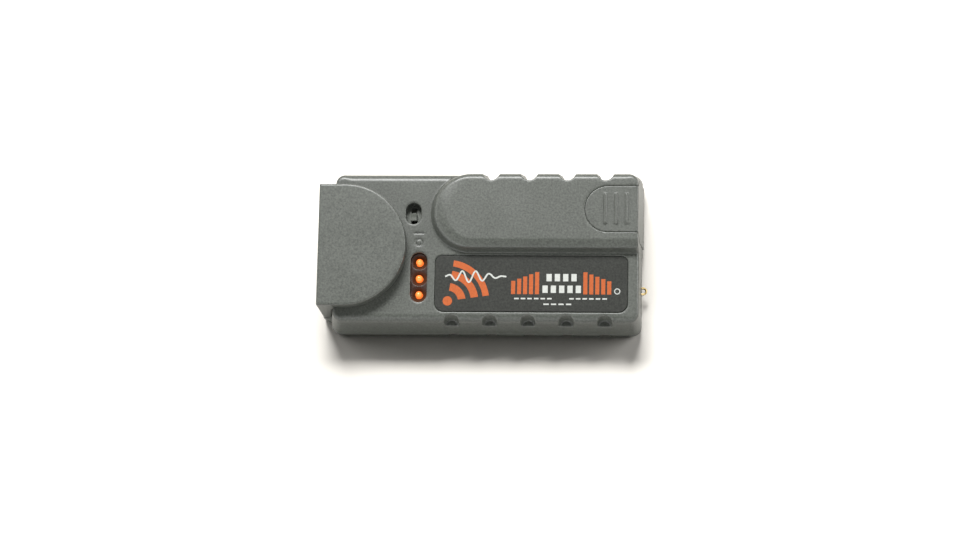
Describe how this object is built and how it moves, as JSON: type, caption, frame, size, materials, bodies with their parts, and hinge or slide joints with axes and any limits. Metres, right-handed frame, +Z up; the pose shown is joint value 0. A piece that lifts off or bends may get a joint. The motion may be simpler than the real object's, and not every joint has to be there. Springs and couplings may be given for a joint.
{
  "type": "handheld infrared game finder",
  "caption": "Handheld infrared game finder with hooded lens, indicator lamps, slide switch and a ribbed grip over a battery bay with a slide-off door.",
  "frame": {"origin": "centre of the flat underside of the lower shell", "axes": "+Z up from the underside through the label face, +X from the lens towards the battery door, +Y towards the battery hump"},
  "size_m": [0.145, 0.0721, 0.0276],
  "materials": {
    "shell": "fine spark-eroded grain, grey moulded plastic",
    "dark_plastic": "satin black moulded plastic",
    "label": "printed matte label in charcoal with orange and pale grey",
    "lens": "dark infrared-passing plastic, polished",
    "lamp": "clear orange lamp, lit",
    "brass": "drawn brass wire",
    "steel": "nickel-plated steel",
    "circuit_board": "solder-masked glass-fibre board",
    "chip": "moulded epoxy",
    "capacitor": "shrink-sleeved aluminium can",
    "trimmer": "blue moulded plastic",
    "resistor": "tan lacquered ceramic",
    "battery": "lacquered steel can",
    "red_wire": "red insulated wire",
    "black_wire": "black insulated wire",
    "foam": "soft closed-cell foam"
  },
  "bodies": {
    "case": {"upper_shell": "shell", "lower_shell": "shell", "label_plate": "label", "sensor_hood": "shell", "lens_ring": "dark_plastic", "front_lens": "lens", "optic_tube": "dark_plastic", "sensor_board": "circuit_board", "pyro_sensor": "steel", "sensor_filter": "lens", "main_board": "circuit_board", "lamp_holder": "dark_plastic", "indicator_lamp_1": "lamp", "indicator_lamp_2": "lamp", "indicator_lamp_3": "lamp", "switch_body": "steel", "amplifier_chip": "chip", "comparator_chip": "chip", "filter_capacitor": "capacitor", "supply_capacitor": "capacitor", "gain_trimmer": "trimmer", "resistor_1": "resistor", "resistor_2": "resistor", "resistor_3": "resistor", "resistor_4": "resistor", "battery_can": "battery", "battery_stud_positive": "steel", "battery_stud_negative": "steel", "snap_connector": "dark_plastic", "red_wire": "red_wire", "black_wire": "black_wire", "case_screw_1": "steel", "case_screw_2": "steel", "case_screw_3": "steel", "case_screw_4": "steel", "board_screw_1": "steel", "board_screw_2": "steel", "board_screw_3": "steel", "lanyard_loop": "brass"},
    "battery_door": {"battery_door": "shell", "door_pad": "foam"},
    "switch_lever": {"switch_lever": "dark_plastic"}
  },
  "joints": [
    {"name": "door_slide", "type": "slide", "parent": "case", "child": "battery_door", "axis": [1, 0, 0], "range_m": [0, 0.03]},
    {"name": "switch_slide", "type": "slide", "parent": "case", "child": "switch_lever", "axis": [0, 1, 0], "range_m": [0, 0.0027]}
  ]
}
